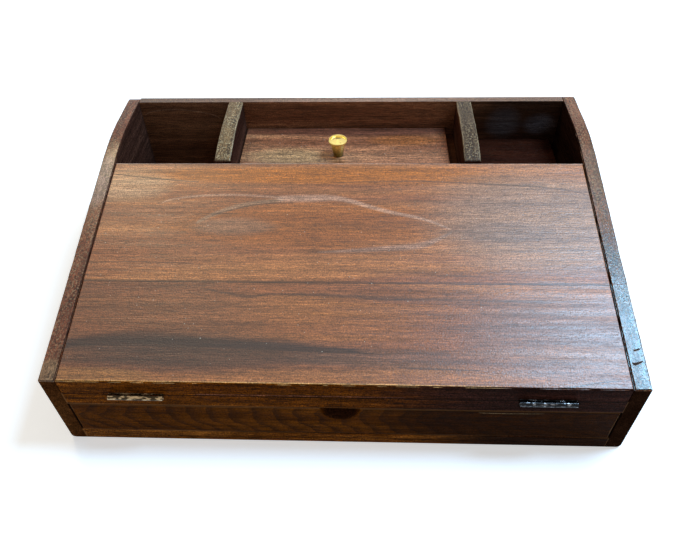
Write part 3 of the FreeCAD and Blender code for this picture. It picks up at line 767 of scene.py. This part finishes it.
def finish_side(node, seed, inward, inside, top, rest, dents=(), rear=None):
    """One end board of the case."""
    # varnish rubbed smooth on the top: a long pale sheen that pits and pores break up
    shiny = wood("varnished_%s_top" % node, node, seed, grain="Y", pitted=0.8, gloss=0.2,
                 level=0.34, relief=0.35, **top)
    # the outside turns away from the lamps: plain brown, with no shine
    dull = wood("varnished_" + node, node, seed, grain="Y", level=0.0, **rest)
    skins = ((shiny, on_top), (inside, partial(turned, inward)), (dull, any_way))
    worn_board(node, "case", skins, UP, 1.0, dents=dents, rear=rear)


class LETTERBOX_OT_case(bpy.types.Operator):
    """Varnishes the fixed boards"""

    bl_idname = PREFIX + ".case"
    bl_label = "Case"

    def execute(self, context):
        finish_insides()
        finish_back()
        finish_front()
        # dark stain with painted shade for the bins' shade: nearly black-brown with no shine
        inside = wood("varnished_inside", "left_side", 34, stain="3a221a", light="4c3025",
                      grain="Y", level=0.0)
        # and more painted shade on the right, where nothing lights it
        inside_right = wood("varnished_inside_right", "right_side", 38, stain="20120e",
                            light="2c1a14", grain="Y", level=0.0)
        finish_dividers(inside)
        # a painted highlight where the top bends, paler where the varnish is worn at its front end,
        # and rounded off at the rear
        painted_highlight_and_worn_end = (((-197, 28), (9, 24), "b49a8c", 0.4, 0.6),
                     ((-197, -134), (9, 9), "b89a6c", 0.3, 0.6))
        finish_side("left_side", 35, 1.0, inside, rear=(10.0, 1.0),
                    top={"stain": "663018", "light": "7a4026", "marks": painted_highlight_and_worn_end},
                    rest={"stain": "683c1d", "light": "7f4e28"})
        # dented at the front, with two cuts in its top, and a sheen as blue as the window's
        dents = (((203, -140, 73), 9.0, 2.5), ((203, -96, 84), 4.0, 1.2))
        cuts = (((196.1, -113.0, 0.3), (198.2, -112.6, 0.6), (200.6, -111.6, 0.4)),
                ((193.5, -121.2, 0.4), (194.7, -122.5, 0.9), (197.1, -121.9, 0.8),
                 (200.7, -120.4, 0.3)))
        finish_side("right_side", 36, -1.0, inside_right, dents=dents,
                    top={"stain": "64321c", "light": "7c4830", "nicks": cuts,
                         "sheen": "d4faff"},
                    rest={"stain": "321c10", "light": "402618"})
        return {"FINISHED"}


# ---- the lids ----

STREAK = "c6967a"  # the pale pinkish ring, where the grain runs out of the board
LID_GRAIN = {
    # pinkish-brown varnish with a broad cool sheen: pores and lint break it up, and each
    # year's ring darkens it a little
    "tilted": True, "streaks": 0.95, "relief": 0.5, "dust": 0.6,
    "rings": {"pith": (120, -70), "lean": (0.02, 0.05), "spacing": 6.5},
}


def foot_or_end(way):
    """Whether a face belongs to the lid's foot or to one of its ends."""
    return way.y < -0.5 or abs(way.x) > 0.3


def finish_lid_front():
    """The sloping lid's front board, with its rubbed foot."""
    marks = (
        ((-20, 52), (70, 17), "9c5a2c", 0.45, 0.6),
        ((-150, 52), (105, 32), "683c26", 0.7, 0.7),
        ((-110, 25), (105, 14), "3a2820", 0.8, 0.9),
        ((-170, 7), (40, 6), "a4713a", 0.3, 0.6),
        ((30, 22), (60, 7), "4a382f", 0.5, 0.7),
        # greyer to the right: partly the wood, partly painted sheen
        ((150, 40), (60, 34), "79594c", 0.4, 0.6),
    )
    lines = (
        # the dark heart streak, and the thinner one above it
        (((-200, 27, 3.5), (-167, 33.4, 5), (-143, 35, 6.5), (-118, 34.2, 6.5),
          (-93, 32.6, 5.5), (-44, 30.2, 4), (0, 28, 2.2), (30, 26, 0.8)), "20140f", 0.7, 8.0),
        (((-105, 77, 0.4), (-80, 71.7, 1.2), (-66, 69.6, 1.5), (-50, 71.4, 1.1),
          (0, 70.5, 1.6), (45, 68.3, 2.6), (85, 68.3, 2.4), (152, 66.8, 0.6)),
         "2e211b", 0.55, 2.0),
        # a scratch
        (((38, 16.2, 0.3), (60, 15.8, 0.8), (95, 14.9, 0.2)), "2b1c15", 0.7, 0.0),
        # the seam with the rear board
        (((-200, 81.3, 0.6), (200, 81.3, 0.6)), "1c110b", 0.9, 0.2),
        # the pale edge along the foot, and the crack that leaves it
        (((-200, 3.5, 0.8), (0, 3.6, 1.1), (60, 3.5, 1.0), (110, 3.4, 0.6)),
         "e2a660", 1.0, 0.4),
        (((140, 3.6, 0.3), (153, 4.6, 0.6), (163, 6.6, 0.6), (177.6, 8.7, 0.5),
          (192, 9.8, 0.4)), "241710", 0.8, 0.2),
    )
    top = wood("varnished_lid_front", "lid_front_board", 40, ring_depth=0.16, marks=marks,
               lines=lines, **LID_GRAIN)
    # where the lid shuts on the rail, its foot is rubbed in the middle
    rub = (((-100, 1.0, 0.3), (-40, 1.2, 0.6), (45, 1.1, 0.4)), "9a6a60", 0.6, 0.2)
    # the foot and the ends turn away from the lamps: orange-brown like the rail, painted paler for the
    # light they lack, with painted shade to the right, and dull
    edge = wood("varnished_lid_edge", "lid_front_board", 40, tilted=True, stain="7a3d0b",
                light="985316", lines=(rub,), drawn="XZ", level=0.005, streaks=1.5,
                marks=(((190, 7), (150, 60), "3c221e", 0.95, 0.6),))
    out = Matrix.Rotation(LID_SLOPE, 3, "X") @ UP
    skins = ((edge, foot_or_end), (top, any_way))
    worn_board("lid_front_board", "sloping_lid", skins, out, 0.5,
               dents=(((150, -139, 72), 9.0, 1.2), ((158, -139, 72), 4.0, 0.8)))


def finish_lid_rear():
    """The sloping lid's rear board, which carries the knob."""
    marks = (
        ((20, 182), (190, 9), "ad5f1f", 0.9, 0.6),
        # a painted highlight: pale glare at the upper left
        ((-178, 172), (34, 15), "d8ae84", 0.35, 0.9),
        ((-20, 133), (110, 21), "96501f", 0.75, 0.6),
        ((-85, 131), (30, 8), "7f7365", 0.3, 0.7),
        # greyer and paler to the right: partly the wood, partly painted sheen
        ((150, 140), (80, 45), "9c7a62", 0.6, 0.8),
        ((120, 127), (40, 9), "5f4c45", 0.35, 0.7),
    )
    lines = (
        # dark streaks above the ring
        (((-191, 183.5, 0.5), (-150, 178, 0.9), (-118, 175, 0.4)), "3a2a20", 0.75, 0.5),
        (((-12, 174.2, 0.4), (60, 175.9, 0.9), (110, 173.4, 0.9), (154, 170.4, 1.0),
          (190, 161.5, 0.6)), "4d3325", 0.65, 1.0),
        # the ring: its two tails on the left, its crest and its return on the right
        (((-146, 152.5, 0.8), (-123, 159.7, 1.4), (-94, 161.8, 1.4), (-66, 160.6, 1.6),
          (-48, 158.4, 2.0)), STREAK, 0.42, 0.8),
        (((-115, 134.0, 0.8), (-95, 146.0, 3.0), (-79, 151.8, 2.8), (-48, 157.0, 2.0)),
         "a18a70", 0.35, 0.8),
        (((-54, 158.0, 2.4), (-28, 158.6, 4.4), (-8, 158.8, 3.4), (5, 155.8, 2.8),
          (21, 150.1, 2.4), (37, 145.0, 2.3), (53, 141.1, 2.0), (65, 137.2, 1.6),
          (75, 132.6, 1.3), (83, 127.8, 0.8)), STREAK, 0.55, 0.9),
        (((-20, 107.8, 0.8), (29, 111.2, 2.8), (58, 114.4, 3.6), (70, 119.6, 2.6),
          (83, 127.6, 1.2)), "94796a", 0.45, 1.2),
        # dark streaks under its crest and low on the left
        (((-104, 141.6, 0.3), (-88, 147.0, 0.8), (-65, 152.8, 0.8), (-38, 154.0, 0.4)),
         "46281a", 0.8, 0.3),
        (((-191, 97, 0.2), (-150, 98, 0.7), (-110, 96.5, 0.3)), "3a2a20", 0.6, 1.0),
        # the seam with the front board, and a painted highlight along the edge at the top
        (((-200, 82.3, 0.4), (200, 82.3, 0.4)), "1c110b", 0.85, 0.2),
        (((-200, 194.6, 0.6), (200, 194.6, 0.6)), "dcb8a2", 0.8, 0.4),
    )
    dress(wood("varnished_lid_rear", "lid_rear_board", 50, ring_depth=0.12, marks=marks,
               lines=lines, **LID_GRAIN), "lid_rear_board")


def finish_small_lid():
    """The level lid behind the sloping one."""
    marks = (
        ((0, 125), (130, 9), "5e3325", 0.75, 0.7), ((-50, 84), (36, 12), "a3885c", 0.5, 0.9),
        ((50, 108), (30, 8), "a4602f", 0.6, 0.7), ((60, 80), (40, 16), "7e4a30", 0.5, 0.8),
    )
    # varnish like the sloping lid's, but rosier and more streaked
    dress(wood("varnished_small_lid", "compartment_lid", 60, stain="855035", light="a8714c",
               marks=marks, streaks=1.2, relief=0.7, dust=0.6), "compartment_lid")


class LETTERBOX_OT_lid(bpy.types.Operator):
    """Varnishes the sloping lid and the small one"""

    bl_idname = PREFIX + ".lid"
    bl_label = "Lids"

    def execute(self, context):
        finish_lid_front()
        finish_lid_rear()
        finish_small_lid()
        return {"FINISHED"}


# ---- the drawer ----

class LETTERBOX_OT_drawer(bpy.types.Operator):
    """Varnishes the drawer's front and leaves its box bare"""

    bl_idname = PREFIX + ".drawer"
    bl_label = "Drawer"

    def execute(self, context):
        year = {"pith": (-201, 38), "lean": (0.18, 0.0), "spacing": 2.7, "wobble": 3.2}
        # painted shade over the right part
        shade = ((150, 30), (115, 60), "30170a", 0.85, 0.6)
        chip = (((95, 43.5, 0.3), (115, 42.6, 0.5), (140, 43.4, 0.3)), "a98c66", 0.8, 0.4)
        # varnish on a slash-sawn board: fine dark rings that lean along it, and no shine; painted
        # paler for the light the front lacks, with a darker crown where lamps light the top
        front = wood("varnished_drawer_front", "drawer_front", 70, stain="743c0c",
                     light="8a4c14", rings=year, ring_depth=0.6, level=0.005, wear=0.3,
                     crown="5c361f", streaks=0.9, drawn="XZ", marks=(shade,), lines=(chip,))
        dress(front, "drawer_front")
        box = {"drawer_left_side": "Y", "drawer_right_side": "Y", "drawer_back": "X",
               "drawer_bottom": "X"}
        for seed, (node, grain) in enumerate(box.items(), start=80):
            # wood that was never varnished: paler, dry and matt
            dress(wood("bare_" + node, node, seed, stain="8a6040", light="a07850", grain=grain,
                       gloss=0.7, level=0.25), node)
        return {"FINISHED"}


# ---- the metal ----

# the film's patches and specks, in mm; real specks are a tenth of that
METAL_PATCH = (4.0, 1.6, 1.6)
METAL_SPECK = (0.9, 0.9, 0.9)
SPECK_RIM = (0.64, 0.74)
PATCH_FADE = 0.16  # the part of a noise over which a patch of film comes in
SPECK_SHARE = 0.5  # how much of the metal a speck hides, as a share of what a patch does
FOOT_COVER = 0.9
POLISH = 0.2  # the roughness of bare metal
METAL_RELIEF = 0.3
METAL_HEIGHT = 0.08 * MM


def metal(name, tone, film, clear, seed, dulled, dull, foot=None):
    """Old metal: bare where hands rub it, and under a dull film elsewhere and at its foot, where the
    film is partly tarnish and partly painted shade, for the dark wood that the foot mirrors.

    The film starts where a noise passes clear, hides so much of the metal and is so rough. The
    foot is the height in mm where it's all film and the one where it ends.
    """
    material, add = new_material(name)
    point = board_point(add, False)
    patches = grain_noise(add, point, seed, METAL_PATCH)
    specks = grain_noise(add, point, seed + 1, METAL_SPECK)
    cover = add("MapRange", [patches["Red"], clear, clear + PATCH_FADE, 0.0, dulled], **EASED)
    spots = add("MapRange", [specks["Red"], *SPECK_RIM, 0.0, dulled * SPECK_SHARE],
                **EASED)
    cover = add("Math", [cover, spots], **LARGER)
    if foot:
        height = add("SeparateXYZ", [point]).outputs["Z"]
        low = add("MapRange", [height, *foot, FOOT_COVER, 0.0], **EASED)
        cover = add("Math", [cover, low], **LARGER)
    shown = add("Mix", {"Factor": cover, "A": tuple(tone) + (1.0,), "B": linear(film)},
                **COLOURED)
    rough = add("MapRange", [cover, 0.0, 1.0, POLISH, dull])
    height = add("Math", [specks["Green"], patches["Green"]], **PLUS)
    bump = add("Bump", {"Height": height, "Strength": METAL_RELIEF, "Distance": METAL_HEIGHT})
    shader = add("BsdfPrincipled", {"Base Color": shown, "Metallic": 1.0, "Roughness": rough,
                                    "Normal": bump})
    add("OutputMaterial", {"Surface": shader})
    return material


class LETTERBOX_OT_metal(bpy.types.Operator):
    """Finishes the hinges, their screws and the knob"""

    bl_idname = PREFIX + ".metal"
    bl_label = "Metal"

    def execute(self, context):
        chosen = settings("metal")
        # thin brass plating worn over steel: warm grey-gold, blotched with brown film
        left = metal("brass_plated_steel", chosen.plating, "2a2014", 0.39, 90, 0.95, 0.5)
        # rolled steel gone dull: nearly black film with a few bright spots rubbed bare
        right = metal("dulled_steel", chosen.steel, "161617", 0.345, 92, 0.96, 0.3)
        # turned brass polished by fingers: bright yellow, and round its foot a green-brown film that
        # is partly tarnish and partly painted shade
        brass = metal("turned_brass", chosen.brass, "6a6434", 0.6, 94, 0.5, 0.35,
                      foot=(100.0, 110.0))
        dress(left, "left_rail_leaf", "left_lid_leaf", "left_hinge_pin")
        dress(right, "right_rail_leaf", "right_lid_leaf", "right_hinge_pin", "rail_hinge_screws",
              "lid_hinge_screws", "knob_screw")
        dress(brass, "knob")
        return {"FINISHED"}


OPERATORS = (LETTERBOX_OT_stage, LETTERBOX_OT_case, LETTERBOX_OT_lid, LETTERBOX_OT_drawer,
             LETTERBOX_OT_metal)


class LETTERBOX_PT_sidebar(bpy.types.Panel):
    """Lists the steps that finish the box"""

    bl_idname = "LETTERBOX_PT_sidebar"
    bl_label = "Letter Box"
    bl_space_type = "VIEW_3D"
    bl_region_type = "UI"
    bl_category = "Letter Box"

    def draw(self, context):
        for kind, group in SETTINGS.items():
            box = self.layout.box()
            for name in group.__annotations__:
                box.prop(settings(kind), name)
        for operator in OPERATORS:
            self.layout.operator(operator.bl_idname)


def register():
    for kind in (*SETTINGS.values(), *OPERATORS, LETTERBOX_PT_sidebar):
        bpy.utils.register_class(kind)
    for kind, group in SETTINGS.items():
        setattr(bpy.types.Scene, PREFIX + "_" + kind, PointerProperty(type=group))


def unregister():
    for kind in SETTINGS:
        delattr(bpy.types.Scene, PREFIX + "_" + kind)
    for kind in (LETTERBOX_PT_sidebar, *reversed(OPERATORS), *SETTINGS.values()):
        bpy.utils.unregister_class(kind)


def main():
    register()
    for operator in OPERATORS:
        space, name = operator.bl_idname.split(".")
        getattr(getattr(bpy.ops, space), name)()


if __name__ == "__main__":
    main()
